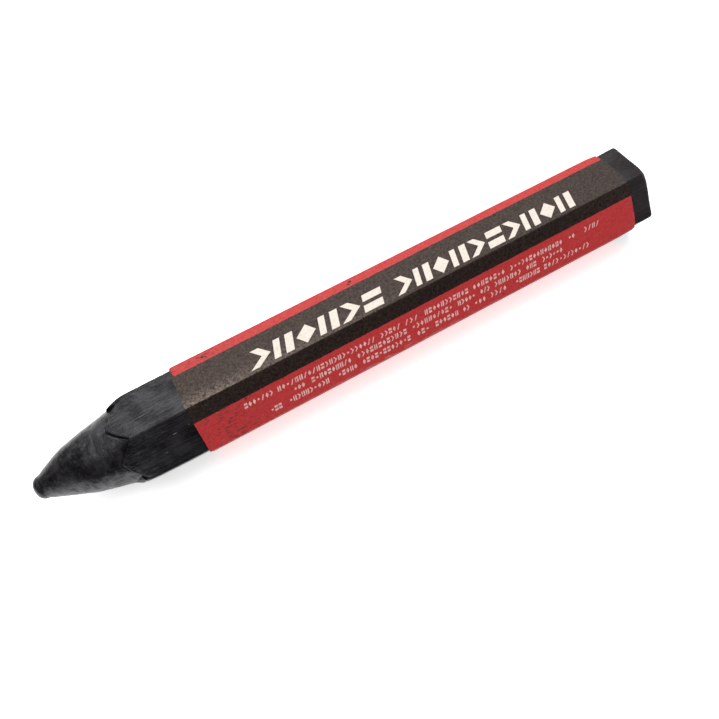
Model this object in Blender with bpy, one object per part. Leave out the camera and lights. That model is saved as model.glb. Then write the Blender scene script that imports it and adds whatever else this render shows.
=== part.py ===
"""Hexagonal marking crayon, lying on one flat.

A moulded wax stick with a bullet point is wrapped in a paper label. The label is one sheet, wound twice
round the stick over a film of paste, and its tail is pasted down as a lengthways lap on the upper back flat.

The stick runs along X with its point at -X. The origin is on the resting surface, under the middle.
"""

import math

import bmesh
import bpy
from mathutils import Vector

MM = 0.001

# Stick
LENGTH = 104.0 * MM
ACROSS_FLATS = 12.7 * MM
CORNER_RADIUS = 0.5 * MM
BUTT_ROUNDING = 0.55 * MM

# Bullet point, measured back from the very tip: a blunt nose, then a parabola that flares into the shoulder
NOSE_RADIUS = 1.85 * MM
NOSE_LENGTH = 1.0 * MM
POINT_START_RADIUS = 1.12 * MM
POINT_FULL_RADIUS = 5.66 * MM
POINT_FULL_AT = 16.64 * MM
FLARE_FROM = 10.0 * MM
FLARE_CURVE = 0.018 / MM

# Scalloped shoulder, where the six flats end in arches over the point
ARCH_CREST_AT = 13.2 * MM
ARCH_CORNER_AT = 15.9 * MM
ARCH_SHARPNESS = 1.2
SHOULDER_RUN = 0.4 * MM
EASE_RUN = 3.2 * MM
EASE_DROP_ON_FLAT = 0.25 * MM
EASE_DROP_ON_CORNER = 0.6 * MM

# Label and paste
LABEL_FRONT_AT = 24.9 * MM
LABEL_LENGTH = 75.3 * MM
PAPER = 0.12 * MM
PASTE = 0.05 * MM
PASTE_CLEARANCE = 0.025 * MM
TURN_GAP = 0.08 * MM
PASTE_INSET = 1.0 * MM

# Lap seam, measured across its flat from the flat's middle
SEAM_FLAT = 0
SHEET_START = -0.2 * MM
STEP_RUN = 1.0 * MM
STEP_SPACE = 0.3 * MM
LAP_END = 1.6 * MM

# Facets
FLAT_STEPS = 8
ARC_STEPS = 4
POINT_RINGS = 14
NOSE_RINGS = 5
EASE_RINGS = 6
BUTT_RINGS = 4

APOTHEM = ACROSS_FLATS / 2
CORE_APOTHEM = APOTHEM - CORNER_RADIUS
FLAT_HALF = CORE_APOTHEM * math.tan(math.pi / 6)
TIP_X = -LENGTH / 2
FIRST_TURN = PASTE + 2 * PASTE_CLEARANCE
SECOND_TURN = FIRST_TURN + PAPER + TURN_GAP
LAP_TURN = SECOND_TURN + PAPER + TURN_GAP
AXIS_HEIGHT = APOTHEM + SECOND_TURN + PAPER


def clear_scene():
    for obj in list(bpy.data.objects):
        bpy.data.objects.remove(obj)


def make_material(name, colour, roughness):
    material = bpy.data.materials.new(name)
    material.use_nodes = True
    shader = material.node_tree.nodes["Principled BSDF"]
    shader.inputs["Base Color"].default_value = (*colour, 1.0)
    shader.inputs["Roughness"].default_value = roughness
    shader.inputs["Metallic"].default_value = 0.0
    return material


def make_object(name, mesh_builder, material, smooth_angle=math.radians(30)):
    bm = bmesh.new()
    mesh_builder(bm)
    bmesh.ops.recalc_face_normals(bm, faces=bm.faces)
    mesh = bpy.data.meshes.new(name)
    bm.to_mesh(mesh)
    bm.free()
    mesh.shade_smooth()
    mesh.set_sharp_from_angle(angle=smooth_angle)
    mesh.materials.append(material)
    obj = bpy.data.objects.new(name, mesh)
    obj.location.z = AXIS_HEIGHT
    bpy.context.scene.collection.objects.link(obj)
    return obj


def flat_normal(flat):
    """Outward direction, as an angle round X from +Y, of flat 0 (upper back) to 5 (lower back)."""
    return math.radians(30 + 60 * flat)


def spoke(angle, radius):
    """A (y, z) vector at an angle round X from +Y."""
    return Vector((math.cos(angle), math.sin(angle))) * radius


def on_flat(flat, across, rise):
    """(y, z) at a distance across a flat from its middle, and a rise above the wax."""
    angle = flat_normal(flat)
    return spoke(angle, APOTHEM + rise) + spoke(angle + math.pi / 2, across)


def on_corner(flat, share, rise):
    """(y, z) on the rounded corner after a flat, at a share of its 60 degree arc."""
    angle = flat_normal(flat)
    centre = spoke(angle, CORE_APOTHEM) + spoke(angle + math.pi / 2, FLAT_HALF)
    return centre + spoke(angle + share * math.pi / 3, CORNER_RADIUS + rise)


def outline(rise=0.0, flat_steps=1):
    """Rounded hexagon as (y, z, way), where way runs from 0 at a flat's middle to 1 at its corner."""
    points = []
    for flat in range(6):
        for step in range(flat_steps + 1):
            across = FLAT_HALF * (2 * step / flat_steps - 1)
            points.append((on_flat(flat, across, rise), abs(across) / FLAT_HALF))
        for step in range(1, ARC_STEPS):
            points.append((on_corner(flat, step / ARC_STEPS, rise), 1.0))
    return points


def add_ring(bm, points):
    return [bm.verts.new(point) for point in points]


def bridge(bm, first, second):
    """Quads between two rings of the same count."""
    count = len(first)
    for i in range(count):
        j = (i + 1) % count
        bm.faces.new((first[i], first[j], second[j], second[i]))


def point_radius(back):
    """Radius of the bullet point at a distance back from the tip."""
    share = min(back / POINT_FULL_AT, 1.0)
    bullet = POINT_FULL_RADIUS - (POINT_FULL_RADIUS - POINT_START_RADIUS) * (1 - share) ** 2
    bullet += FLARE_CURVE * max(back - FLARE_FROM, 0.0) ** 2
    if back >= NOSE_LENGTH:
        return max(bullet, NOSE_RADIUS)
    nose = NOSE_RADIUS * math.sqrt(1 - (1 - back / NOSE_LENGTH) ** 2)
    return max(nose, NOSE_RADIUS / 3)


def arch_at(way):
    """How far back from the tip a flat ends, from its crest in the middle to its corners."""
    return ARCH_CREST_AT + (ARCH_CORNER_AT - ARCH_CREST_AT) * way**ARCH_SHARPNESS


def build_stick(bm):
    columns = outline(flat_steps=FLAT_STEPS)
    rings = []

    def ring(station):
        """station gives (distance back from the tip, radius) for a column's hexagon radius and way."""
        points = []
        for place, way in columns:
            back, radius = station(place.length, way)
            across = place.normalized() * radius
            points.append((TIP_X + back, across.x, across.y))
        rings.append(add_ring(bm, points))

    for step in range(NOSE_RINGS):
        back = NOSE_LENGTH * (1 - math.cos(step / NOSE_RINGS * math.pi / 2))
        ring(lambda full, way, back=back: (back, point_radius(back)))
    for step in range(POINT_RINGS + 1):
        share = step / POINT_RINGS

        def along_point(full, way, share=share):
            foot = arch_at(way) - SHOULDER_RUN
            back = NOSE_LENGTH + (foot - NOSE_LENGTH) * share
            return back, point_radius(back)

        ring(along_point)
    for step in range(EASE_RINGS + 1):
        share = (step / EASE_RINGS) ** 2

        def over_ease(full, way, share=share):
            drop = EASE_DROP_ON_FLAT + (EASE_DROP_ON_CORNER - EASE_DROP_ON_FLAT) * way**3
            return arch_at(way) + EASE_RUN * share, full - drop * (1 - share) ** 2

        ring(over_ease)
    for step in range(BUTT_RINGS + 1):
        turn = step / BUTT_RINGS * math.pi / 2

        def over_butt(full, way, turn=turn):
            back = LENGTH - BUTT_ROUNDING * (1 - math.sin(turn))
            return back, full - BUTT_ROUNDING * (1 - math.cos(turn))

        ring(over_butt)
    for first, second in zip(rings, rings[1:]):
        bridge(bm, first, second)
    bm.faces.new(rings[0])
    bm.faces.new(rings[-1])


def build_paste_film(bm):
    """Closed hexagonal sleeve of paste between the stick and the label's first turn."""
    front = TIP_X + LABEL_FRONT_AT + PASTE_INSET
    rear = TIP_X + LABEL_FRONT_AT + LABEL_LENGTH - PASTE_INSET
    walls = []
    for rise in (PASTE_CLEARANCE, PASTE_CLEARANCE + PASTE):
        for x in (front, rear):
            walls.append(add_ring(bm, [(x, *place) for place, way in outline(rise)]))
    inner_front, inner_rear, outer_front, outer_rear = walls
    bridge(bm, inner_front, inner_rear)
    bridge(bm, outer_front, outer_rear)
    bridge(bm, inner_front, outer_front)
    bridge(bm, inner_rear, outer_rear)


def sheet_path():
    """The sheet's run as functions of rise above its own inner face, from its start to its tail."""
    step_end = SHEET_START - STEP_SPACE
    step_start = step_end - STEP_RUN
    second_end = step_start - STEP_SPACE
    second_start = second_end - STEP_RUN
    path = [("flat", SEAM_FLAT, SHEET_START, FIRST_TURN)]
    turns = (
        (FIRST_TURN, SECOND_TURN, step_start, step_end),
        (SECOND_TURN, LAP_TURN, second_start, second_end),
    )
    for rise, next_rise, start, end in turns:
        path.append(("flat", SEAM_FLAT, FLAT_HALF, rise))
        for later in range(6):
            flat = (SEAM_FLAT + later) % 6
            if later > 0:
                path.append(("flat", flat, -FLAT_HALF, rise))
                path.append(("flat", flat, FLAT_HALF, rise))
            for step in range(1, ARC_STEPS):
                path.append(("corner", flat, step / ARC_STEPS, rise))
        path.append(("flat", SEAM_FLAT, -FLAT_HALF, rise))
        path.append(("flat", SEAM_FLAT, start, rise))
        path.append(("flat", SEAM_FLAT, end, next_rise))
    path.append(("flat", SEAM_FLAT, LAP_END, LAP_TURN))
    return path


def build_label(bm):
    """Ribbon whose four-cornered section follows the sheet's path round the stick."""
    front = TIP_X + LABEL_FRONT_AT
    rear = front + LABEL_LENGTH
    sections = []
    for kind, flat, across, rise in sheet_path():
        place = on_flat if kind == "flat" else on_corner
        inner = place(flat, across, rise)
        outer = place(flat, across, rise + PAPER)
        corners = [(front, *inner), (rear, *inner), (rear, *outer), (front, *outer)]
        sections.append(add_ring(bm, corners))
    for first, second in zip(sections, sections[1:]):
        bridge(bm, first, second)
    bm.faces.new(sections[0])
    bm.faces.new(sections[-1])


def build_lap_paste(bm):
    """Strip of paste under the label's tail."""
    low = SECOND_TURN + PAPER + (TURN_GAP - PASTE) / 2
    half_length = LABEL_LENGTH / 2 - PASTE_INSET
    middle = TIP_X + LABEL_FRONT_AT + LABEL_LENGTH / 2
    ends = []
    for x in (middle - half_length, middle + half_length):
        corners = []
        for across, rise in (
            (SHEET_START, low),
            (LAP_END - STEP_SPACE, low),
            (LAP_END - STEP_SPACE, low + PASTE),
            (SHEET_START, low + PASTE),
        ):
            corners.append((x, *on_flat(SEAM_FLAT, across, rise)))
        ends.append(add_ring(bm, corners))
    bridge(bm, *ends)
    for end in ends:
        bm.faces.new(end)


def main():
    clear_scene()
    wax = make_material("black_wax", (0.035, 0.036, 0.040), 0.45)
    paper = make_material("printed_paper", (0.55, 0.05, 0.055), 0.6)
    paste = make_material("dry_paste", (0.75, 0.70, 0.58), 0.7)
    make_object("wax_stick", build_stick, wax)
    make_object("label_paste_film", build_paste_film, paste)
    make_object("paper_label", build_label, paper)
    make_object("lap_paste_strip", build_lap_paste, paste)


main()
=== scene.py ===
"""Black hexagonal marking crayon in a wound paper label, lying on a pale floor."""

import math
import random

import bpy
from mathutils import Matrix, Vector, noise


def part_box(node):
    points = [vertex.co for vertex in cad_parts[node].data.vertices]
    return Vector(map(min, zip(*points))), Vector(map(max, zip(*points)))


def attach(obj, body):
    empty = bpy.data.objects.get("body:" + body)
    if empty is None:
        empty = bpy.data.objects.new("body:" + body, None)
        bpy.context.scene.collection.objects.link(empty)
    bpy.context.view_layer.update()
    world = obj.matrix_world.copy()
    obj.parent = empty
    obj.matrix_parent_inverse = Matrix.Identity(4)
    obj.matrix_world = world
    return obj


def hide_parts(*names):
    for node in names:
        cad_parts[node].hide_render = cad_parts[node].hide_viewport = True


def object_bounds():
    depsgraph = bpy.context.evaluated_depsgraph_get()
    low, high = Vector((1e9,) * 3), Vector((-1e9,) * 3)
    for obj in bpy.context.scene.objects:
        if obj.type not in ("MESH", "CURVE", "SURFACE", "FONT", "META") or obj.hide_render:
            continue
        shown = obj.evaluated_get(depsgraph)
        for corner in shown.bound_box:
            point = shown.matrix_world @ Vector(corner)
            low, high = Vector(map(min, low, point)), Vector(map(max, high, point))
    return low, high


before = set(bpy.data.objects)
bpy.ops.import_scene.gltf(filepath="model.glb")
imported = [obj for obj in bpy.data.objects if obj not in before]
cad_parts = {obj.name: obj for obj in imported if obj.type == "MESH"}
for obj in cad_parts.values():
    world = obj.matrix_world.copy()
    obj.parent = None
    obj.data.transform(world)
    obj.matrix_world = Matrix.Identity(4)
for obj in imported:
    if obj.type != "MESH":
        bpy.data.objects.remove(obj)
cad_low, cad_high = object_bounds()

# Lengths below are millimetres until a mesh is made.
MM = 0.001

# Sizes of the solids
STICK_LOW, STICK_HIGH = (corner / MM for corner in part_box("wax_stick"))
LABEL_LOW, LABEL_HIGH = (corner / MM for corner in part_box("paper_label"))
TIP_X = STICK_LOW.x
LENGTH = STICK_HIGH.x - STICK_LOW.x
AXIS_Z = (STICK_LOW.z + STICK_HIGH.z) / 2
APOTHEM = (STICK_HIGH.z - STICK_LOW.z) / 2
LABEL_THICKNESS = (LABEL_HIGH.z - LABEL_LOW.z) / 2 - APOTHEM

# Stick section and butt
CORNER_RADIUS = 0.3
CORE_APOTHEM = APOTHEM - CORNER_RADIUS
FLAT_HALF = CORE_APOTHEM * math.tan(math.pi / 6)
BUTT_ROUNDING = 0.65
BUTT_SWELL = 0.06
BUTT_LEAN = Vector((0.05, 0.12))

# Bullet point, as distances back from the tip and radii
NOSE_RADIUS = 1.80
NOSE_LENGTH = 1.2
NOSE_SQUARENESS = 2.9
NOSE_SET_BACK = 0.16
NOSE_TURN = math.radians(70)
POINT_START_RADIUS = 1.03
POINT_FULL_RADIUS = 5.66
POINT_FULL_AT = 16.64
FLARE_FROM = 10.0
FLARE_CURVE = 0.018
POINT_LEAN = Vector((0.065, 0.11))

# Scalloped shoulder. Flats are numbered from the upper back one, round X from +Y to +Z.
TOP_FLAT = 1
FRONT_FLAT = 2
ARCH_SHARPNESS = 1.25
CREST_AT = (14.25, 13.85, 13.8, 14.2, 13.3, 13.1)
CREST_ACROSS = (0.0, 0.6, -0.3, 0.2, -0.2, 0.3)
FLAT_DROP = (0.85, 0.10, 0.10, 0.22, 0.3, 0.3)
FLAT_RUN = (3.3, 2.6, 2.6, 2.0, 3.0, 3.0)
FLAT_LEDGE = (0.2, 0.5, 0.45, 2.0, 0.4, 0.4)
CORNER_AT = ((14.5, 16.2), (16.3, 16.3), (15.6, 15.0), (15.7, 15.7), (15.9, 15.9), (15.6, 15.6))
CORNER_DROP = ((0.85, 0.55), (0.15, 0.15), (0.35, 0.3), (0.6, 0.6), (0.6, 0.6), (0.6, 0.6))
CORNER_RUN = (3.2, 0.9, 2.2, 3.0, 3.2, 3.2)
CORNER_LEDGE = (0.2, 0.3, 0.5, 0.9, 0.4, 0.4)

# Third value of the wax's sheet attribute: 0 on the flats, 1 where turned, 2 under the shoulder
SURFACE_KINDS = {"nose": 1.0, "point": 1.0, "ledge": 2.0, "end": 1.0}

# Pale scratches on the bare wax, as (back from the tip, flat, distance across it from its middle,
# half length, half width, strength)
WAX_MARKS = (
    (18.8, TOP_FLAT, 1.2, 1.6, 0.06, 0.50),
    (21.8, FRONT_FLAT, -1.13, 0.34, 0.09, 0.70),
    (19.5, FRONT_FLAT, 0.92, 0.26, 0.08, 0.50),
    (24.1, FRONT_FLAT, -1.43, 0.12, 0.09, 0.70),
    (16.2, FRONT_FLAT, -1.05, 0.9, 0.05, 0.30),
    (20.6, FRONT_FLAT, -2.20, 0.5, 0.05, 0.30),
    (16.9, FRONT_FLAT, 2.35, 0.8, 0.05, 0.30),
)

# Label
PAPER = 0.12
CREASE = 0.6
TURN_GAP = 0.08
FIRST_TURN = 0.10
SECOND_TURN = FIRST_TURN + PAPER + TURN_GAP
LAP_TURN = SECOND_TURN + PAPER + TURN_GAP
FRONT_OVERHANG = 0.2
SHEET_START = -0.2
STEP_RUN = 1.0
STEP_SPACE = 0.3
LAP_END = 1.6
OUTER_CORNER = math.pi / 3 * (CORNER_RADIUS + LABEL_THICKNESS)
FLAT_PITCH = 2 * FLAT_HALF + OUTER_CORNER
PRINT_REPEAT = 3 * FLAT_PITCH

# Print on the top flat and the front flat, as distances across the flat from its middle
# and behind the label's front edge
BAND_TOP_EDGE = -2.12
BAND_FRONT_EDGE = -1.30
BAND_SKEW = -0.004
BAND_BOW = 0.17
INK_FILM = 0.012
INK_ROOT = 0.02
HEADING_HEIGHT = 3.15
HEADING_BASE = 3.3
HEADING_LEAN = math.tan(math.radians(17))
HEADING_GROUPS = ((10.3, 3.67, 6), (34.2, 3.2, 10))
GLYPH_WIDTH = 0.86
NOTE_HEIGHT = 0.80
NOTE_WIDTH = 0.50
NOTE_PITCH = 0.70
NOTE_ROWS = (
    (-0.45, ((7.0, 11.7), (12.3, 28.5), (29.3, 32.8), (33.5, 35.9), (36.9, 44.7), (45.4, 51.3),
             (52.1, 61.9), (62.9, 64.2), (65.9, 68.9))),
    (0.80, ((14.4, 16.3), (17.3, 24.0), (24.9, 33.5), (34.3, 41.5), (42.3, 45.5), (46.3, 48.1),
            (48.9, 53.9), (54.7, 56.7), (57.7, 61.6))),
    (2.11, ((10.1, 12.0), (13.1, 19.8), (21.2, 24.5), (25.3, 33.7), (34.7, 37.0), (37.9, 42.1),
            (42.8, 44.1), (44.9, 47.1), (47.8, 50.9), (52.4, 57.0), (57.7, 66.4))),
)

# Specks of wax caught on the paper, as (flat, behind the label's front edge, distance across the
# flat from its middle, half length, half width)
WAX_SPECKS = (
    (TOP_FLAT, 5.0, -3.0, 0.26, 0.20),
    (TOP_FLAT, 5.45, -2.75, 0.13, 0.13),
    (TOP_FLAT, 29.4, -3.2, 0.30, 0.20),
    (TOP_FLAT, 29.0, -2.85, 0.20, 0.15),
    (TOP_FLAT, 9.6, -0.15, 0.09, 0.08),
    (FRONT_FLAT, 7.8, -1.1, 0.16, 0.14),
    (FRONT_FLAT, 13.5, -1.55, 0.10, 0.11),
    (FRONT_FLAT, 13.8, -1.2, 0.09, 0.08),
    (FRONT_FLAT, 49.9, 3.25, 0.12, 0.14),
)
SPECK_HEIGHT = 0.07

# Colours of the wax
WAX_DARK = (0.0025, 0.0018, 0.0025, 1)
WAX_PALE = (0.012, 0.0100, 0.012, 1)
DRAGGED_WAX = (0.05, 0.047, 0.047, 1)
BUTT_COLOUR = (0.033, 0.027, 0.028, 1)
SCRATCH_COLOUR = (0.20, 0.18, 0.17, 1)
WAX_TINT = (0.94, 0.96, 1.0, 1)

# Colours of the label
RED_DARK = (0.44, 0.021, 0.025, 1)
RED_PALE = (0.53, 0.029, 0.033, 1)
BROWN_DARK = (0.007, 0.0045, 0.0052, 1)
BROWN_PALE = (0.030, 0.0165, 0.0120, 1)
DIRTY_RED = (0.08, 0.022, 0.024, 1)
# The pale brown below is partly rubbed print and partly painted sheen along the top flat's long edge
RUBBED_BROWN_AND_SHEEN = (0.24, 0.19, 0.16, 1)
RUBBED_RED = (0.62, 0.36, 0.34, 1)
BARE_PAPER = (0.62, 0.55, 0.45, 1)
PAPER_TINT = (1.0, 0.82, 0.71, 1)
HEADING_INK = ((0.76, 0.69, 0.61, 1), (0.62, 0.55, 0.48, 1))
NOTE_INK = ((0.74, 0.50, 0.47, 1), (0.60, 0.22, 0.21, 1))
PASTE_COLOURS = ((0.58, 0.53, 0.42, 1), (0.76, 0.71, 0.60, 1))

# Camera, aimed as the photograph is
LENS = 33.0
TARGET = Vector((TIP_X + 50.3, -5.634, AXIS_Z))
DISTANCE = 99.695
AZIMUTH = math.radians(-16.465)
ELEVATION = math.radians(56.685)
ROLL = math.radians(-13.782)

# Light, with directions out from the crayon, and the stage, with both in metres
KEY_FROM = Vector((-0.10, -0.12, 0.99))
KEY_DISTANCE = 0.45
KEY_SIZE = (0.35, 0.35)
KEY_RADIANCE = 3.7
GLARE_FROM = Vector((0.14, 0.57, 0.78))
GLARE_DISTANCE = 0.40
GLARE_SIZE = (0.68, 0.26)
GLARE_RADIANCE = 3.0
SURROUND = 0.16
FLOOR_GLOW = 0.68
FLOOR_ALBEDO = 0.88
FLOOR_HALF = 3.0
FLOOR_GAP = 0.00003
CARD_LIFT = 0.0005

# Cards in front of the crayon, as (name, low corner, high corner)
DARK_CARDS = (
    ("far_card", (-0.6, -0.655), (0.6, -0.055)),
    ("near_card", (-0.035, -0.0545), (0.08, -0.0085)),
    ("point_card", (-0.12, -0.0545), (-0.0355, -0.024)),
)


def mix(a, b, share):
    return a + (b - a) * share


def smooth(low, high, value):
    share = min(max((value - low) / (high - low), 0.0), 1.0)
    return share * share * (3 - 2 * share)


def hump(value, middle, width):
    return math.exp(-(((value - middle) / width) ** 2))


def wander(*place):
    """Smooth noise between about -1 and 1."""
    return noise.noise(Vector(place))


def spoke(angle, radius):
    return Vector((math.cos(angle), math.sin(angle))) * radius


def flat_normal(flat):
    return math.radians(30 + 60 * flat)


def on_flat(flat, across, rise):
    """(y, z) from the stick's axis, at a distance across a flat and a rise above the wax."""
    angle = flat_normal(flat)
    return spoke(angle, APOTHEM + rise) + spoke(angle + math.pi / 2, across)


def on_corner(flat, share, rise):
    """(y, z) from the stick's axis on the rounded corner after a flat."""
    angle = flat_normal(flat)
    centre = spoke(angle, CORE_APOTHEM) + spoke(angle + math.pi / 2, FLAT_HALF)
    return centre + spoke(angle + share * math.pi / 3, CORNER_RADIUS + rise)


def in_frame(x, across):
    return (x * MM, across.x * MM, (AXIS_Z + across.y) * MM)


# ---------------------------------------------------------------- meshes


def make_piece(name, verts, faces, material, sheet=None, sharp=35):
    mesh = bpy.data.meshes.new(name)
    mesh.from_pydata(verts, [], faces)
    mesh.update()
    if sheet:
        layer = mesh.attributes.new("sheet", "FLOAT_VECTOR", "POINT")
        layer.data.foreach_set("vector", [value for place in sheet for value in place])
    mesh.shade_smooth()
    mesh.set_sharp_from_angle(angle=math.radians(sharp))
    mesh.materials.append(material)
    obj = bpy.data.objects.new(name, mesh)
    bpy.context.scene.collection.objects.link(obj)
    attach(obj, "root")
    return obj


def grid_faces(rows, columns, wrap):
    faces = []
    for row in range(rows - 1):
        for column in range(columns if wrap else columns - 1):
            after = (column + 1) % columns
            faces.append(
                (
                    row * columns + column,
                    row * columns + after,
                    (row + 1) * columns + after,
                    (row + 1) * columns + column,
                )
            )
    return faces


# ---------------------------------------------------------------- wax stick


def rear_press(x, flat, way):
    """How far the paper's end is pressed into the wax at two of its corners."""
    if flat not in (0, FRONT_FLAT):
        return 0.0
    return 0.12 * hump(x, LABEL_HIGH.x, 1.4) * way**6


class Column:
    """One lengthways line of the stick's surface."""

    def __init__(self, flat, across=None, share=None):
        self.flat = flat
        if share is None:
            self.place = on_flat(flat, across, 0.0)
            crest = CREST_ACROSS[flat]
            beyond = across >= crest
            self.corner = flat if beyond else (flat - 1) % 6
            edge = FLAT_HALF if beyond else -FLAT_HALF
            self.way = (across - crest) / (edge - crest)
            self.edge_way = abs(across) / FLAT_HALF
            self.around = flat * FLAT_PITCH + across
            self.side = 0.0 if beyond else 1.0
        else:
            self.place = on_corner(flat, share, 0.0)
            self.corner = flat
            self.way = 1.0
            self.edge_way = 1.0
            self.around = flat * FLAT_PITCH + FLAT_HALF + share * OUTER_CORNER
            self.side = share
        self.full = self.place.length
        self.out = self.place.normalized()
        self.lead = wander(self.out.x * 2.2, self.out.y * 2.2, 7.0)
        self.chip = wander(self.out.x * 9.0, self.out.y * 9.0, 3.0)
        self.arch = self.find_arch()
        corner_drop = mix(*CORNER_DROP[self.corner], self.side)
        self.drop = mix(FLAT_DROP[flat], corner_drop, self.way**3)
        self.run = mix(FLAT_RUN[flat], CORNER_RUN[self.corner], self.way**3)
        self.ledge = mix(FLAT_LEDGE[flat], CORNER_LEDGE[self.corner], self.way)

    def find_arch(self):
        crest = CREST_AT[self.flat]
        corner_at = mix(*CORNER_AT[self.corner], self.side)
        arch = mix(crest, corner_at, self.way**ARCH_SHARPNESS)
        return arch + 0.12 * self.lead + 0.10 * self.chip


def stick_columns(flat_steps=40, arc_steps=8):
    columns = []
    for flat in range(6):
        for step in range(flat_steps + 1):
            columns.append(Column(flat, across=FLAT_HALF * (2 * step / flat_steps - 1)))
        for step in range(1, arc_steps):
            columns.append(Column(flat, share=step / arc_steps))
    return columns


def point_radius(back):
    share = min(back / POINT_FULL_AT, 1.0)
    bullet = POINT_FULL_RADIUS - (POINT_FULL_RADIUS - POINT_START_RADIUS) * (1 - share) ** 2
    bullet += FLARE_CURVE * max(back - FLARE_FROM, 0.0) ** 2
    gap = bullet - NOSE_RADIUS
    return NOSE_RADIUS + (gap + math.sqrt(gap * gap + 0.004)) / 2


def nose_profile(share):
    """(back, radius) over the blunt nose, from its middle."""
    power = 2 / NOSE_SQUARENESS
    turn = share * NOSE_TURN
    advance = (1 - math.cos(turn) ** power) / (1 - math.cos(NOSE_TURN) ** power)
    spread = (math.sin(turn) / math.sin(NOSE_TURN)) ** power
    return mix(NOSE_SET_BACK, NOSE_LENGTH, advance), point_radius(NOSE_LENGTH) * spread


def stick_stations():
    """Rings of the stick from nose to butt, as (kind, share) pairs."""
    counts = (("nose", 14), ("point", 84), ("ledge", 6), ("ease", 22), ("bare", 58))
    stations = []
    for kind, count in counts:
        stations += [(kind, step / count) for step in range(1 if kind == "nose" else 0, count)]
    stations += [("hidden", step / 12) for step in range(12)]
    stations += [("rear", step / 28) for step in range(28)]
    stations += [("butt", step / 7) for step in range(8)]
    stations += [("end", step / 16) for step in range(1, 16)]
    return stations


def stick_ring(kind, share, column):
    """(back from the tip, radius) of a column at a station."""
    foot = column.arch - column.ledge
    eased = column.arch + column.run
    bare_end = LABEL_LOW.x - TIP_X + 2.0
    rear_start = LABEL_HIGH.x - TIP_X - 1.5
    rounding = BUTT_ROUNDING + 0.55 * hump(column.around, 1.5 * FLAT_PITCH, 1.1)
    round_start = LENGTH - rounding
    if kind == "nose":
        return nose_profile(share)
    if kind == "point":
        back = mix(NOSE_LENGTH, foot, share)
        return back, point_radius(back)
    if kind == "ledge":
        climb = mix(math.sin(share * math.pi / 2), smooth(0, 1, share), min(column.ledge / 1.5, 1))
        back = foot + column.ledge * share
        return back, mix(point_radius(foot), column.full - column.drop, climb)
    if kind == "ease":
        at = share**1.6
        return column.arch + column.run * at, column.full - column.drop * (1 - at) ** 2
    if kind == "bare":
        return mix(eased, bare_end, share), column.full
    if kind == "hidden":
        return mix(bare_end, rear_start, share), column.full
    if kind == "rear":
        return mix(rear_start, round_start, share), column.full
    turn = share * math.pi / 2
    if kind == "butt":
        return round_start + rounding * math.sin(turn), column.full - rounding * (1 - math.cos(turn))
    return LENGTH, (column.full - rounding) * (1 - share)


def point_relief(back, column):
    """Turning rings, dents and drag marks on the bullet point."""
    y, z = column.out
    rings = 0.006 * wander(back * 3.2, y * 1.3, z * 1.3)
    dents = 0.07 * wander(back * 0.45, y * 2.0, z * 2.0 + 9.0)
    dents += 0.025 * wander(back * 1.2, y * 4.0, z * 4.0)
    dents += 0.010 * wander(back * 2.6, y * 9.0, z * 9.0)
    ring = -0.022 * hump(back + 0.3 * wander(y, z, 2.0), 11.3, 0.16)
    return rings + dents + ring


def flat_relief(back, column):
    """Drag lines along the flats and chips along their corners."""
    around = column.around
    drag = 0.016 * wander(back * 0.10, around * 3.1, 0.0)
    drag += 0.012 * wander(back * 0.30, around * 5.5, 4.0)
    swell = 0.03 * wander(back * 0.25, around * 0.5, 8.0)
    chip = wander(back * 1.5, around * 1.1, 12.0) - 0.22
    whole = column.corner == TOP_FLAT or (column.corner == 0 and back < 18.0)
    chips = 0.0 if whole else -0.30 * max(chip, 0.0) * column.edge_way**10
    return drag + swell + chips


def near_corner_chips(back, column):
    """Broken wax just behind the shoulder, on the corner between the top and front flats."""
    if column.corner != TOP_FLAT:
        return 0.0
    rough = wander(back * 3.4, column.around * 2.6, 31.0)
    reach = hump(back, 16.9, 0.8) * column.way**8
    pit_across = column.around - (1.5 * FLAT_PITCH - 0.62)
    pit = hump(back, 18.45, 0.16) * hump(pit_across, 0.0, 0.12)
    return -0.10 * max(rough + 0.05, 0.0) * reach - 0.09 * pit


def top_crack(back, column):
    """Dark groove at the foot of the top flat's near half."""
    if column.flat != TOP_FLAT or column.corner != TOP_FLAT:
        return 0.0
    near = smooth(0.05, 0.45, column.way) * (1 - smooth(0.96, 1.0, column.way))
    near *= 0.7 + 0.6 * wander(back * 1.9, column.around * 3.0, 25.0)
    return -0.20 * near * hump(back, column.arch - column.ledge - 0.06, 0.16)


def stick_vertex(kind, share, column):
    back, radius = stick_ring(kind, share, column)
    x = TIP_X + back
    if kind == "end":
        place = column.out * (radius + BUTT_SWELL * (1 - share))
        return x - 0.04 * abs(wander(place.x * 0.7, place.y * 0.7, 3.0)), place + BUTT_LEAN
    if kind == "nose":
        place = column.out * radius
        shift = 0.05 * abs(wander(place.x * 0.9, place.y * 0.9, 1.0)) * (1 - share)
        return x + shift, place + POINT_LEAN
    if kind in ("point", "ledge"):
        radius += point_relief(back, column) * smooth(0.7, 2.0, back)
        radius += top_crack(back, column)
    if kind in ("ledge", "ease"):
        rough = share if kind == "ledge" else 1 - smooth(0.0, 1.0, share)
        radius += 0.06 * rough * wander(back * 2.6, column.around * 2.2, 15.0)
    if kind not in ("point", "hidden"):
        radius += flat_relief(back, column) + near_corner_chips(back, column)
    radius -= 0.8 * rear_press(x, column.corner, column.edge_way)
    radius += 0.07 * smooth(17.0, 22.0, back) * (1 - smooth(24.9, 27.0, back))
    radius += BUTT_SWELL * smooth(LABEL_HIGH.x - 0.2, LABEL_HIGH.x + 0.25, x)
    lean = POINT_LEAN * (1 + 1.2 * hump(back, 5.2, 2.2)) * (1 - smooth(6.0, 12.5, back))
    lean += BUTT_LEAN * smooth(LABEL_HIGH.x - 0.2, LABEL_HIGH.x + 0.25, x)
    return x, column.out * radius + lean


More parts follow.
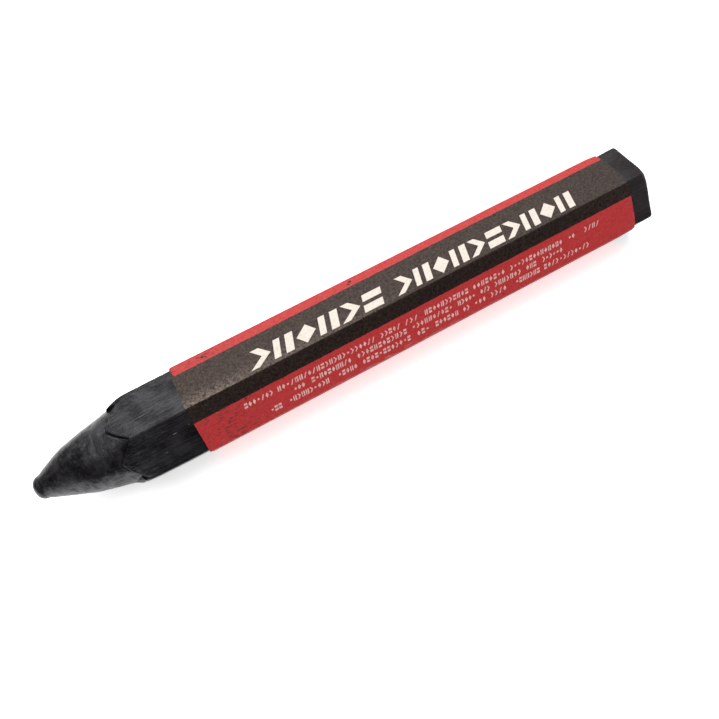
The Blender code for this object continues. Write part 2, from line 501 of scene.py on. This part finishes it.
def build_stick(material):
    columns = stick_columns()
    stations = stick_stations()
    verts, sheet = [], []
    for kind, share in stations:
        for column in columns:
            x, place = stick_vertex(kind, share, column)
            verts.append(in_frame(x, place))
            sheet.append((x - TIP_X, column.around, SURFACE_KINDS.get(kind, 0.0)))
    faces = grid_faces(len(stations), len(columns), wrap=True)
    count = len(columns)
    last = len(verts) - count
    nose, butt = len(verts), len(verts) + 1
    verts.append(in_frame(TIP_X + NOSE_SET_BACK, POINT_LEAN))
    verts.append(in_frame(TIP_X + LENGTH, BUTT_LEAN))
    sheet += [(0.0, 0.0, 1.0), (LENGTH, 0.0, 1.0)]
    for column in range(count):
        after = (column + 1) % count
        faces.append((nose, after, column))
        faces.append((butt, last + column, last + after))
    obj = make_piece("wax_body", verts, faces, material, sheet, sharp=42)
    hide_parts("wax_stick")


# ---------------------------------------------------------------- paper label


def sheet_sections(flat_steps=14, arc_steps=6):
    """The sheet from its start to its tail, as (kind, flat, position, rise, flats passed, turn)."""
    step_end = SHEET_START - STEP_SPACE
    step_start = step_end - STEP_RUN
    second_end = step_start - STEP_SPACE
    second_start = second_end - STEP_RUN
    path = []

    def run(flat, start, end, rise, next_rise, turn):
        steps = max(2, round(abs(end - start) / (2 * FLAT_HALF) * flat_steps))
        for step in range(steps + 1):
            share = step / steps
            across = mix(start, end, share)
            path.append(("flat", flat % 6, across, mix(rise, next_rise, share), flat, turn))

    def corner(flat, rise, turn):
        for step in range(1, arc_steps):
            path.append(("corner", flat % 6, step / arc_steps, rise, flat, turn))

    turns = (
        (FIRST_TURN, SECOND_TURN, SHEET_START, step_start, step_end),
        (SECOND_TURN, LAP_TURN, step_end + 0.05, second_start, second_end),
    )
    for turn, (rise, next_rise, begin, start, end) in enumerate(turns):
        run(0, begin, FLAT_HALF, rise, rise, turn)
        corner(0, rise, turn)
        for flat in range(1, 6):
            run(flat, -FLAT_HALF, FLAT_HALF, rise, rise, turn)
            corner(flat, rise, turn)
        run(6, -FLAT_HALF, start - 0.05, rise, rise, turn)
        run(6, start, end, rise, next_rise, turn)
    run(6, second_end + 0.05, LAP_END, LAP_TURN, LAP_TURN, 2)
    return path


def paper_swell(x, around):
    """Slow waves of the pasted paper."""
    wave = 0.014 * wander(x * 0.16, around * 0.30, 2.0)
    wave += 0.008 * wander(x * 0.55, around * 0.45, 6.0)
    return wave


def distance_round(kind, flat, position):
    if kind == "flat":
        return flat * FLAT_PITCH + position
    return flat * FLAT_PITCH + FLAT_HALF + position * OUTER_CORNER


def paper_place(kind, flat, position, rise, x):
    around = distance_round(kind, flat, position)
    way = 1.0
    corner = flat
    if kind == "flat":
        way = abs(position) / FLAT_HALF
        corner = flat if position > 0 else (flat - 1) % 6
    loose = min(max(rise - FIRST_TURN, 0.0) / TURN_GAP, 1.0)
    lift = rise + paper_swell(x, around) * loose - rear_press(x, corner, way)
    if kind == "flat":
        return on_flat(flat, position, lift)
    fold = spoke(flat_normal(flat) + math.pi / 6, (APOTHEM + lift) / math.cos(math.pi / 6))
    return mix(on_corner(flat, position, lift), fold, CREASE * (1 - (2 * position - 1) ** 2))


def front_edge(around):
    """How far the label's front edge is set back."""
    far_corner = FLAT_PITCH / 2
    back = 0.50 * hump(around % (6 * FLAT_PITCH), far_corner - 0.1, 0.42) - FRONT_OVERHANG
    return back + 0.035 * wander(around * 1.3, 40.0, 0.0) + 0.015 * wander(around * 6.0, 44.0, 0.0)


def rear_edge(around):
    """How far the label's frayed rear edge is set back."""
    far_corner = FLAT_PITCH / 2
    low_corner = 2.5 * FLAT_PITCH
    turned = around % (6 * FLAT_PITCH)
    back = 0.25 * hump(turned, far_corner, 0.8) + 0.25 * hump(turned, low_corner, 0.7)
    back += 0.25 * hump(turned, 1.5 * FLAT_PITCH - 0.6, 1.6)
    return back + 0.06 * wander(around * 1.6, 50.0, 0.0) + 0.05 * wander(around * 7.0, 54.0, 0.0)


def label_rows():
    """Shares of the label's length, closer together at both ends."""
    fine = [0.0, 0.02, 0.05, 0.1, 0.2, 0.4, 0.7, 1.1, 1.6]
    length = LABEL_HIGH.x - LABEL_LOW.x
    middle = [1.6 + (length - 3.2) * step / 130 for step in range(1, 130)]
    rear = [length - value for value in reversed(fine)]
    return [value / length for value in fine + middle + rear]


def build_label(material):
    """A ribbon of paper with both faces and its cut edges."""
    sections = sheet_sections()
    shares = label_rows()
    loop = len(shares) * 2
    verts, sheet = [], []
    for kind, flat, position, rise, turned, turn in sections:
        around = distance_round(kind, turned, position)
        front = LABEL_LOW.x + front_edge(around)
        rear = LABEL_HIGH.x - max(rear_edge(around), 0.0)
        for face in (0, 1):
            for share in shares if face else reversed(shares):
                x = mix(front, rear, share)
                verts.append(in_frame(x, paper_place(kind, flat, position, rise + PAPER * face, x)))
                sheet.append((x - LABEL_LOW.x, around, face * (1.0 if turn else 0.5)))
    faces = grid_faces(len(sections), loop, wrap=True)
    for base, order in ((0, 1), ((len(sections) - 1) * loop, -1)):
        for step in range(len(shares) - 1):
            quad = (base + step, base + step + 1, base + loop - step - 2, base + loop - step - 1)
            faces.append(quad[::order])
    obj = make_piece("paper_wrap", verts, faces, material, sheet, sharp=50)
    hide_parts("paper_label")


# ---------------------------------------------------------------- printed marks


def add_block(verts, faces, flat, outline, steps=4):
    """A thin solid film of ink over a four-cornered outline of (along, across) on a flat."""
    start = len(verts)
    a, b, c, d = outline
    rows = []
    for step in range(steps + 1):
        share = step / steps
        left = (mix(a[0], d[0], share), mix(a[1], d[1], share))
        right = (mix(b[0], c[0], share), mix(b[1], c[1], share))
        rows.append((left, right))
    for lift in (-INK_ROOT, INK_FILM):
        for left, right in rows:
            for along, across in (left, right):
                x = LABEL_LOW.x + along
                rise = LABEL_THICKNESS + lift
                verts.append(in_frame(x, paper_place("flat", flat, across, rise, x)))
    count = 2 * (steps + 1)
    for step in range(steps):
        k = start + 2 * step
        top = k + count
        faces.append((k, k + 2, k + 3, k + 1))
        faces.append((top, top + 1, top + 3, top + 2))
        faces.append((k, top, top + 2, k + 2))
        faces.append((k + 1, k + 3, top + 3, top + 1))
    faces.append((start, start + 1, start + count + 1, start + count))
    end = start + count - 2
    faces.append((end, end + count, end + count + 1, end + 1))


def glyph_quads(kind):
    """Outlines inside a unit cell, from its base at the bottom left."""
    if kind == "bars":
        return (
            ((0.00, 0.0), (0.33, 0.0), (0.33, 1.0), (0.00, 1.0)),
            ((0.60, 0.0), (1.00, 0.0), (1.00, 1.0), (0.60, 1.0)),
        )
    if kind == "chevron":
        return (
            ((0.00, 0.0), (0.42, 0.0), (1.00, 0.5), (0.56, 0.5)),
            ((0.56, 0.5), (1.00, 0.5), (0.42, 1.0), (0.00, 1.0)),
        )
    if kind == "decks":
        return (
            ((0.00, 0.0), (1.00, 0.0), (1.00, 0.40), (0.00, 0.40)),
            ((0.00, 0.62), (1.00, 0.62), (1.00, 1.0), (0.00, 1.0)),
        )
    return (((0.5, 0.0), (1.00, 0.5), (0.5, 1.0), (0.0, 0.5)),)


def build_heading(material):
    """Two groups of slanted geometric marks on the dark band."""
    order = ("chevron", "bars", "lozenge", "bars", "chevron", "decks")
    verts, faces = [], []
    for flat in (TOP_FLAT, TOP_FLAT + 3):
        for start, pitch, count in HEADING_GROUPS:
            for index in range(count):
                for quad in glyph_quads(order[index % len(order)]):
                    outline = []
                    for along, up in quad:
                        across = HEADING_BASE - HEADING_HEIGHT * up
                        lean = HEADING_LEAN * HEADING_HEIGHT * up
                        x = start + pitch * (index + along * GLYPH_WIDTH) + lean
                        outline.append((x, across))
                    add_block(verts, faces, flat, outline)
    make_piece("heading_marks", verts, faces, material, sharp=30)


def note_quads(kind):
    """Outlines of one tiny mark inside a unit cell."""
    if kind == "slash":
        return (((0.0, 0.0), (0.34, 0.0), (1.0, 1.0), (0.66, 1.0)),)
    if kind == "dot":
        return (((0.2, 0.35), (0.8, 0.35), (0.8, 0.7), (0.2, 0.7)),)
    return glyph_quads(kind)


def build_notes(material):
    """Three rows of tiny geometric marks, grouped like words, on the red below the dark band."""
    dice = random.Random(5)
    kinds = ("lozenge", "bars", "chevron", "slash", "decks", "lozenge", "bars", "dot")
    verts, faces = [], []
    for flat in (FRONT_FLAT, FRONT_FLAT + 3):
        for top, words in NOTE_ROWS:
            for start, end in words:
                count = max(1, round((end - start) / NOTE_PITCH))
                for index in range(count):
                    left = start + (end - start) * index / count
                    for quad in note_quads(dice.choice(kinds)):
                        outline = []
                        for along, up in quad:
                            x = left + along * NOTE_WIDTH + 0.16 * NOTE_HEIGHT * up
                            outline.append((x, top + NOTE_HEIGHT * (1 - up)))
                        add_block(verts, faces, flat, outline, steps=1)
    make_piece("note_marks", verts, faces, material, sharp=30)


def add_lump(verts, faces, centre, sizes, seed, rings=5, spokes=9):
    """A small closed crumb with an uneven surface, centred in millimetres from the axis."""
    start = len(verts)
    for ring in range(1, rings):
        polar = math.pi * ring / rings
        for spoke_index in range(spokes):
            turn = 2 * math.pi * spoke_index / spokes
            way = Vector(
                (
                    math.sin(polar) * math.cos(turn),
                    math.sin(polar) * math.sin(turn),
                    math.cos(polar),
                )
            )
            swell = 1 + 0.45 * noise.noise(way * 1.7 + Vector((seed, 0, 0)))
            place = [centre[k] + way[k] * sizes[k] * swell for k in range(3)]
            verts.append(in_frame(place[0], Vector((place[1], place[2]))))
    top, low = len(verts), len(verts) + 1
    verts.append(in_frame(centre[0], Vector((centre[1], centre[2] + sizes[2]))))
    verts.append(in_frame(centre[0], Vector((centre[1], centre[2] - sizes[2]))))
    for ring in range(rings - 2):
        for k in range(spokes):
            after = (k + 1) % spokes
            a = start + ring * spokes
            b = a + spokes
            faces.append((a + k, b + k, b + after, a + after))
    last = start + (rings - 2) * spokes
    for k in range(spokes):
        after = (k + 1) % spokes
        faces.append((top, start + k, start + after))
        faces.append((low, last + after, last + k))


def build_crumbs(material):
    """Specks of wax caught on the paper."""
    verts, faces = [], []
    for seed, (flat, along, across, long, wide) in enumerate(WAX_SPECKS):
        x = LABEL_LOW.x + along
        place = paper_place("flat", flat, across, LABEL_THICKNESS + 0.01, x)
        sizes = (long, wide, min(wide, SPECK_HEIGHT))
        add_lump(verts, faces, (x, place.x, place.y), sizes, seed * 3.1)
    make_piece("wax_specks", verts, faces, material, sharp=60)


# ---------------------------------------------------------------- materials


class Nodes:
    """Short ways to wire a procedural material."""

    def __init__(self, name):
        self.material = bpy.data.materials.new(name)
        self.material.use_nodes = True
        self.tree = self.material.node_tree
        self.shader = self.tree.nodes["Principled BSDF"]

    def wire(self, value, socket):
        if isinstance(value, bpy.types.NodeSocket):
            self.tree.links.new(value, socket)
        else:
            socket.default_value = value

    def math(self, operation, first, second=0.0, clamp=False):
        node = self.tree.nodes.new("ShaderNodeMath")
        node.operation = operation
        node.use_clamp = clamp
        self.wire(first, node.inputs[0])
        self.wire(second, node.inputs[1])
        return node.outputs[0]

    def ramp(self, value, low, high):
        """0 below low, 1 above high, and straight between them."""
        node = self.tree.nodes.new("ShaderNodeMapRange")
        node.clamp = True
        self.wire(value, node.inputs["Value"])
        self.wire(low, node.inputs["From Min"])
        self.wire(high, node.inputs["From Max"])
        return node.outputs[0]

    def blend(self, share, first, second):
        node = self.tree.nodes.new("ShaderNodeMix")
        node.data_type = "RGBA"
        self.wire(share, node.inputs["Factor"])
        self.wire(first, node.inputs["A"])
        self.wire(second, node.inputs["B"])
        return node.outputs["Result"]

    def place(self):
        """The row frame, in millimetres."""
        source = self.tree.nodes.new("ShaderNodeTexCoord")
        return self.stretch(source.outputs["Object"], (1 / MM, 1 / MM, 1 / MM))

    def stretch(self, vector, scale):
        node = self.tree.nodes.new("ShaderNodeMapping")
        node.inputs["Scale"].default_value = scale
        self.wire(vector, node.inputs["Vector"])
        return node.outputs[0]

    def sheet(self):
        """(vector, along, around, face) that the mesh carries."""
        source = self.tree.nodes.new("ShaderNodeAttribute")
        source.attribute_name = "sheet"
        split = self.tree.nodes.new("ShaderNodeSeparateXYZ")
        self.wire(source.outputs["Vector"], split.inputs[0])
        return source.outputs["Vector"], *split.outputs

    def noise(self, vector, scale, detail=2.0, rough=0.5):
        node = self.tree.nodes.new("ShaderNodeTexNoise")
        node.inputs["Scale"].default_value = scale
        node.inputs["Detail"].default_value = detail
        node.inputs["Roughness"].default_value = rough
        self.wire(vector, node.inputs["Vector"])
        return node.outputs[0]

    def bump(self, height, distance):
        node = self.tree.nodes.new("ShaderNodeBump")
        node.inputs["Strength"].default_value = 1.0
        node.inputs["Distance"].default_value = distance * MM
        self.wire(height, node.inputs["Height"])
        self.wire(node.outputs[0], self.shader.inputs["Normal"])

    def finish(self, colour, roughness, specular, tint=(1.0, 1.0, 1.0, 1.0)):
        self.wire(colour, self.shader.inputs["Base Color"])
        self.wire(roughness, self.shader.inputs["Roughness"])
        self.wire(specular, self.shader.inputs["Specular IOR Level"])
        self.wire(tint, self.shader.inputs["Specular Tint"])
        return self.material


def near(n, value, middle, width):
    """1 at the middle, falling to 0 at a width away."""
    gap = n.math("ABSOLUTE", n.math("SUBTRACT", value, middle))
    return n.ramp(gap, width, 0.0)


def times(n, *shares):
    product = shares[0]
    for share in shares[1:]:
        product = n.math("MULTIPLY", product, share)
    return product


def make_wax():
    n = Nodes("black_wax")
    vector, back, around, surface = n.sheet()
    point = n.math("MINIMUM", surface, 1.0)
    sheltered = n.ramp(surface, 1.0, 2.0)
    place = n.place()
    cloud = n.noise(place, 0.31, 2.0, 0.45)
    grain = n.noise(place, 7.0, 2.0, 0.5)
    drag = n.noise(n.stretch(vector, (0.16, 4.2, 1.0)), 1.0, 4.0, 0.7)
    fine = n.noise(n.stretch(vector, (1.3, 15.0, 1.0)), 1.0, 2.0, 0.5)
    dragged = n.math("ADD", n.math("MULTIPLY", drag, 0.5), n.math("MULTIPLY", fine, 0.5))
    scratches = n.ramp(n.noise(n.stretch(vector, (0.22, 8.0, 1.0)), 1.0, 2.0, 0.6), 0.58, 0.74)
    rings = n.noise(n.stretch(vector, (3.6, 0.25, 1.0)), 1.0, 3.0, 0.6)
    blotch = n.noise(place, 1.3, 4.0, 0.62)
    turned = n.math("ADD", n.math("MULTIPLY", rings, 0.25), n.math("MULTIPLY", blotch, 0.5))
    turned = n.math("ADD", turned, 0.125)
    flat = n.math("SUBTRACT", 1.0, point)
    lines = n.math("ADD", times(n, dragged, flat), times(n, turned, point))
    tone = n.math("ADD", n.math("MULTIPLY", lines, 0.7), n.math("MULTIPLY", cloud, 0.3))
    colour = n.blend(n.ramp(tone, 0.43, 0.58), WAX_DARK, WAX_PALE)
    colour = n.blend(times(n, scratches, flat, 0.7), colour, DRAGGED_WAX)
    butt = n.ramp(back, LENGTH - 4.2, LENGTH - 3.4)
    colour = n.blend(n.math("MULTIPLY", butt, 0.6), colour, BUTT_COLOUR)
    for where, flat_number, across, length, width, share in WAX_MARKS:
        middle = flat_number * FLAT_PITCH + across
        mark = times(n, near(n, back, where, length), near(n, around, middle, width))
        mark = n.math("MULTIPLY", mark, 2.0 * share, clamp=True)
        colour = n.blend(mark, colour, SCRATCH_COLOUR)
    polish = n.math("ADD", n.math("MULTIPLY", n.ramp(tone, 0.43, 0.57), 0.42), 0.16)
    polish = n.math("MULTIPLY", polish, n.math("ADD", n.math("MULTIPLY", point, 0.25), 1.0))
    duller = n.math("SUBTRACT", 1.0, n.math("MULTIPLY", butt, 0.60))
    darker = n.math("SUBTRACT", 1.0, n.math("MULTIPLY", sheltered, 0.75))
    polish = times(n, polish, duller, darker)
    rough = n.math("ADD", n.math("MULTIPLY", n.ramp(cloud, 0.3, 0.7), 0.09), 0.26)
    height = n.math("ADD", n.math("MULTIPLY", lines, 0.7), n.math("MULTIPLY", grain, 0.3))
    n.bump(height, 0.12)
    return n.finish(colour, rough, polish, WAX_TINT)


def paper_grain(n, place):
    """Fibres and pores of uncoated paper."""
    coarse = n.noise(place, 2.6, 3.0, 0.6)
    fine = n.noise(place, 9.0, 2.0, 0.55)
    return n.math("ADD", n.math("MULTIPLY", coarse, 0.55), n.math("MULTIPLY", fine, 0.45))


def make_paper():
    n = Nodes("printed_paper")
    vector, along, around, face = n.sheet()
    place = n.place()
    grain = paper_grain(n, place)
    bleed = n.math("MULTIPLY", n.math("SUBTRACT", n.noise(place, 2.2, 3.0, 0.6), 0.5), 0.20)
    turned = n.math("FLOORED_MODULO", around, PRINT_REPEAT)
    skew = n.math("MULTIPLY", along, BAND_SKEW)
    across = n.math("ADD", n.math("SUBTRACT", turned, skew), bleed)
    bow = n.math("MULTIPLY", near(n, along, 46.0, 44.0), BAND_BOW)
    band_start = n.math("SUBTRACT", TOP_FLAT * FLAT_PITCH + BAND_TOP_EDGE, bow)
    dark = stripe(n, across, band_start, FRONT_FLAT * FLAT_PITCH + BAND_FRONT_EDGE)
    low_corner = 2.5 * FLAT_PITCH
    # A second dark stripe on the front-lower flat, just past the lower long edge: painted shade,
    # laid on as print, for the dark line along the crayon's underside
    dark = n.math("MAXIMUM", dark, stripe(n, across, low_corner + 0.45, low_corner + 2.9))
    dark = n.math("MAXIMUM", dark, stripe_ends(n, along, across))
    red = n.blend(n.ramp(grain, 0.3, 0.7), RED_DARK, RED_PALE)
    brown = n.blend(n.ramp(grain, 0.40, 0.62), BROWN_DARK, BROWN_PALE)
    dirty = n.blend(n.math("MULTIPLY", dirt(n, vector, along), 0.9), red, DIRTY_RED)
    colour = n.blend(dark, dirty, brown)
    # Paler brown near the long edge: partly rubbed print, partly painted sheen
    colour = n.blend(edge_rub_and_sheen(n, along, turned, grain), colour, RUBBED_BROWN_AND_SHEEN)
    colour = n.blend(low_rub(n, vector, along, turned), colour, RUBBED_RED)
    printed = n.ramp(face, 0.70, 0.95)
    colour = n.blend(printed, BARE_PAPER, colour)
    polish = n.math("ADD", n.math("MULTIPLY", n.ramp(grain, 0.40, 0.62), 0.34), 0.24)
    n.bump(grain, 0.09)
    return n.finish(colour, 0.42, polish, PAPER_TINT)


def stripe(n, across, start, end):
    return times(
        n,
        n.ramp(n.math("SUBTRACT", across, start), -0.03, 0.03),
        n.ramp(n.math("SUBTRACT", across, end), 0.03, -0.03),
    )


def stripe_ends(n, along, across):
    """Dark ink round the rounded ends of the red stripe on the far side of the top flat."""
    band_edge = TOP_FLAT * FLAT_PITCH + BAND_TOP_EDGE
    corner = n.ramp(across, band_edge - 0.4, band_edge)
    stripe_side = n.ramp(across, band_edge - 1.6, band_edge - 1.3)
    stripe_side = times(n, stripe_side, n.ramp(across, band_edge + 0.4, band_edge + 0.2))
    length = LABEL_HIGH.x - LABEL_LOW.x
    end = n.math("MINIMUM", along, n.math("SUBTRACT", length, along))
    inset = times(n, corner, corner, 0.32)
    return times(n, stripe_side, n.ramp(n.math("SUBTRACT", end, inset), 0.14, 0.08))


def dirt(n, vector, along):
    """Wax dust dragged over the label's front end."""
    streaks = n.noise(n.stretch(vector, (1.0, 3.4, 1.0)), 1.0, 4.0, 0.65)
    return times(n, n.ramp(streaks, 0.50, 0.64), near(n, along, 4.6, 7.5))


def edge_rub_and_sheen(n, along, turned, grain):
    """Print rubbed pale along the long edge between the top flat and the front flat, with painted
    sheen on the top flat's side of that edge, strongest towards the label's front end.
    """
    corner = 1.5 * FLAT_PITCH
    edge = n.ramp(turned, corner - 3.2, corner - 0.3)
    edge = times(n, edge, edge, n.ramp(turned, corner + 0.02, corner - 0.08))
    fade = n.ramp(along, 36.0, 2.0)
    return times(n, edge, fade, n.ramp(grain, 0.39, 0.60), 0.66)


def low_rub(n, vector, along, turned):
    """Print rubbed pale along the lower edge of the front flat."""
    edge = near(n, turned, 2.5 * FLAT_PITCH - 0.15, 0.5)
    streaks = n.noise(n.stretch(vector, (0.5, 3.0, 1.0)), 1.0, 3.0, 0.6)
    return times(n, edge, near(n, along, 33.0, 22.0), n.ramp(streaks, 0.5, 0.66), 0.55)


def make_ink(name, pale, worn):
    n = Nodes(name)
    grain = paper_grain(n, n.place())
    colour = n.blend(n.ramp(grain, 0.36, 0.56), worn, pale)
    n.bump(grain, 0.02)
    return n.finish(colour, 0.6, 0.3)


def make_paste():
    n = Nodes("dry_paste")
    streaks = n.noise(n.stretch(n.place(), (0.3, 2.0, 2.0)), 1.0, 3.0, 0.6)
    colour = n.blend(n.ramp(streaks, 0.3, 0.7), *PASTE_COLOURS)
    n.bump(streaks, 0.02)
    return n.finish(colour, 0.7, 0.3)


# ---------------------------------------------------------------- stage


def make_rectangle(name, height, low, high):
    mesh = bpy.data.meshes.new(name)
    corners = [(low[0], low[1]), (high[0], low[1]), (high[0], high[1]), (low[0], high[1])]
    mesh.from_pydata([(x, y, height) for x, y in corners], [], [(0, 1, 2, 3)])
    return mesh


def build_floor(height):
    mesh = make_rectangle("floor", height, (-FLOOR_HALF, -FLOOR_HALF), (FLOOR_HALF, FLOOR_HALF))
    n = Nodes("floor")
    n.finish((FLOOR_ALBEDO, FLOOR_ALBEDO, FLOOR_ALBEDO, 1), 0.9, 0.0)
    n.shader.inputs["Emission Color"].default_value = (1.0, 1.0, 1.0, 1.0)
    n.shader.inputs["Emission Strength"].default_value = FLOOR_GLOW
    mesh.materials.append(n.material)
    floor = bpy.data.objects.new("floor", mesh)
    bpy.context.scene.collection.objects.link(floor)


def build_dark_card(name, height, low, high):
    """A card in front of the crayon, out of view, that keeps the front faces' reflections dark."""
    mesh = make_rectangle(name, height, low, high)
    n = Nodes(name)
    mesh.materials.append(n.finish((0.01, 0.01, 0.01, 1), 0.9, 0.0))
    card = bpy.data.objects.new(name, mesh)
    card.visible_camera = False
    card.visible_diffuse = False
    card.visible_shadow = False
    bpy.context.scene.collection.objects.link(card)


def add_softbox(name, direction, distance, size, radiance):
    data = bpy.data.lights.new(name, "AREA")
    data.shape = "RECTANGLE"
    data.size, data.size_y = size
    data.energy = radiance * math.pi * size[0] * size[1]
    light = bpy.data.objects.new(name, data)
    direction = direction.normalized()
    light.location = direction * distance
    light.rotation_mode = "QUATERNION"
    light.rotation_quaternion = direction.to_track_quat("Z", "Y")
    bpy.context.scene.collection.objects.link(light)


def build_light():
    add_softbox("key_light", KEY_FROM, KEY_DISTANCE, KEY_SIZE, KEY_RADIANCE)
    add_softbox("glare_light", GLARE_FROM, GLARE_DISTANCE, GLARE_SIZE, GLARE_RADIANCE)
    world = bpy.data.worlds.new("surround")
    world.use_nodes = True
    background = world.node_tree.nodes["Background"]
    background.inputs["Color"].default_value = (1.0, 1.0, 1.0, 1.0)
    background.inputs["Strength"].default_value = SURROUND
    bpy.context.scene.world = world
    bpy.context.scene.view_settings.view_transform = "Standard"


def build_camera():
    azimuth = Vector((math.cos(AZIMUTH), math.sin(AZIMUTH), 0.0))
    back = Vector(
        (
            math.sin(AZIMUTH) * math.cos(ELEVATION),
            -math.cos(AZIMUTH) * math.cos(ELEVATION),
            math.sin(ELEVATION),
        )
    )
    over = azimuth.cross(-back)
    right = azimuth * math.cos(ROLL) + over * math.sin(ROLL)
    up = over * math.cos(ROLL) - azimuth * math.sin(ROLL)
    data = bpy.data.cameras.new("camera")
    data.lens = LENS
    data.sensor_width = 36.0
    data.clip_start = 0.001
    camera = bpy.data.objects.new("camera", data)
    bpy.context.scene.collection.objects.link(camera)
    turn = Matrix((right, up, back)).transposed()
    where = (TARGET + back * DISTANCE) * MM
    camera.matrix_world = Matrix.Translation(where) @ turn.to_4x4()
    bpy.context.scene.camera = camera


def dress_paste(material):
    for name in ("label_paste_film", "lap_paste_strip"):
        mesh = bpy.data.objects[name].data
        mesh.materials.clear()
        mesh.materials.append(material)


def main():
    wax = make_wax()
    paper = make_paper()
    cream = make_ink("heading_ink", *HEADING_INK)
    pink = make_ink("note_ink", *NOTE_INK)
    build_stick(wax)
    build_label(paper)
    build_heading(cream)
    build_notes(pink)
    build_crumbs(wax)
    dress_paste(make_paste())
    build_floor(cad_low.z - FLOOR_GAP)
    for name, low, high in DARK_CARDS:
        build_dark_card(name, cad_low.z + CARD_LIFT, low, high)
    build_light()
    build_camera()


main()
